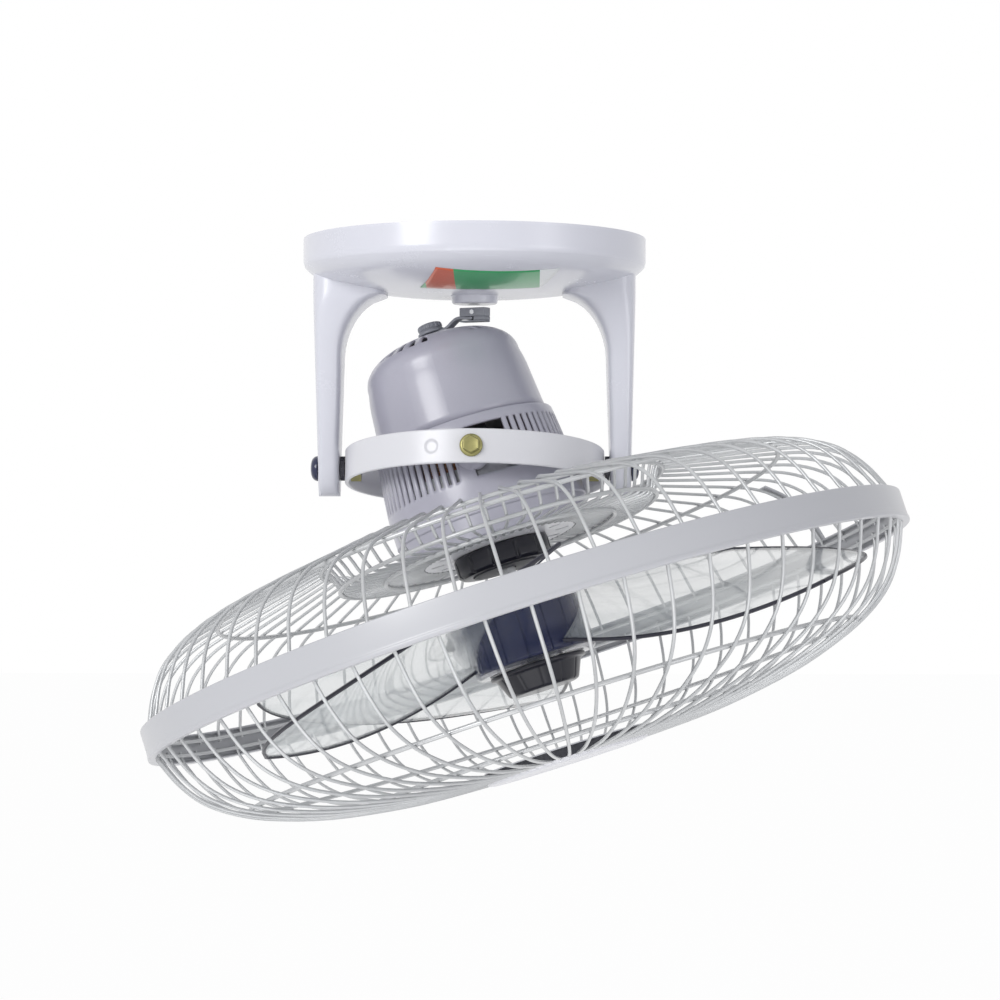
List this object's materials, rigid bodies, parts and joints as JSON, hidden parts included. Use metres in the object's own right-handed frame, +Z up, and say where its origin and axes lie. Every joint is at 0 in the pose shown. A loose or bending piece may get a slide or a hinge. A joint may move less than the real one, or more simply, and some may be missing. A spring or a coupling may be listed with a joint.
{
  "type": "orbital ceiling fan",
  "caption": "Ceiling fan with a caged fan head hung in a gimbal ring under a yoke; a slow crank sweeps the tilted head round in a circle.",
  "frame": {"origin": "Centre of the ceiling plate's top face, which lies against the ceiling.", "axes": "+Z points up into the ceiling; the two yoke legs are at -X and +X; -Y is the side that the picture looks at."},
  "size_m": [0.4389, 0.4624, 0.3434],
  "materials": {
    "white_gloss": "gloss",
    "ring_white": "satin",
    "lavender_paint": "satin",
    "clamp_grey": "satin",
    "guard_wire": "satin",
    "clear_plastic": "clear",
    "black_plastic": "gloss",
    "navy_cap": "satin",
    "dark_plastic": "satin",
    "crank_grey": "satin",
    "zinc_steel": "satin",
    "brass_screw": "satin",
    "copper_wire": "satin",
    "nylon": "satin"
  },
  "bodies": {
    "bracket": {"ceiling_plate": "zinc_steel", "yoke_housing": "white_gloss", "canopy_screw_left": "zinc_steel", "canopy_screw_right": "zinc_steel", "terminal_block": "nylon", "capacitor": "dark_plastic", "swivel_stud": "zinc_steel", "swivel_stud_nut": "zinc_steel", "leg_pivot_bolt_right": "navy_cap", "leg_pivot_bush_right": "black_plastic", "leg_pivot_nut_right": "brass_screw", "leg_pivot_bolt_left": "navy_cap", "leg_pivot_bush_left": "black_plastic", "leg_pivot_nut_left": "brass_screw"},
    "gimbal": {"gimbal_ring": "ring_white"},
    "head": {"head_pivot_screw_front": "brass_screw", "head_pivot_washer_front": "nylon", "head_pivot_screw_back": "brass_screw", "head_pivot_washer_back": "nylon", "motor_housing": "lavender_paint", "rear_cover": "lavender_paint", "front_shield": "dark_plastic", "rear_bracket": "dark_plastic", "bearing_front": "zinc_steel", "bearing_rear": "zinc_steel", "stator_core": "zinc_steel", "stator_coil_rear": "copper_wire", "stator_coil_front": "copper_wire", "orbit_motor": "zinc_steel", "orbit_motor_bracket": "zinc_steel", "orbit_motor_screw_left": "zinc_steel", "orbit_motor_screw_right": "zinc_steel", "rear_guard_plate": "ring_white", "guard_lock_nut": "black_plastic", "rear_guard": "guard_wire", "rear_guard_crown_1": "guard_wire", "rear_guard_crown_2": "guard_wire", "rear_guard_crown_3": "guard_wire", "rear_guard_crown_4": "guard_wire", "rear_guard_crown_5": "guard_wire", "rear_guard_crown_6": "guard_wire", "rear_guard_well": "guard_wire", "rear_guard_floor": "guard_wire", "rear_guard_strap": "clamp_grey", "front_guard": "guard_wire", "front_plate": "dark_plastic", "clamp_ring": "clamp_grey", "clamp_screw": "zinc_steel", "clamp_nut": "zinc_steel"},
    "rotor": {"motor_shaft": "zinc_steel", "rotor_core": "zinc_steel", "fan_blades": "clear_plastic", "hub_core": "dark_plastic", "drive_pin": "zinc_steel", "spinner": "black_plastic"},
    "crank": {"output_shaft": "zinc_steel", "crank_arm": "crank_grey", "crank_knob": "crank_grey", "swivel_block": "crank_grey", "swivel_pin": "zinc_steel"}
  },
  "joints": [
    {"name": "ring_tilt", "type": "hinge", "parent": "bracket", "child": "gimbal", "pos_m": [0, 0, -0.1335], "axis": [1, 0, 0], "range_deg": [-10.5, 29.7]},
    {"name": "head_tilt", "type": "hinge", "parent": "gimbal", "child": "head", "pos_m": [0, 0, -0.1335], "axis": [0, 0.986, -0.1668], "range_deg": [-2.4, 37.8]},
    {"name": "rotor_spin", "type": "hinge", "parent": "head", "child": "rotor", "pos_m": [0, 0, -0.1335], "axis": [-0.304, 0.1589, 0.9393], "continuous": true},
    {"name": "crank_turn", "type": "hinge", "parent": "head", "child": "crank", "pos_m": [0, 0, -0.1335], "axis": [-0.304, 0.1589, 0.9393], "continuous": true}
  ]
}
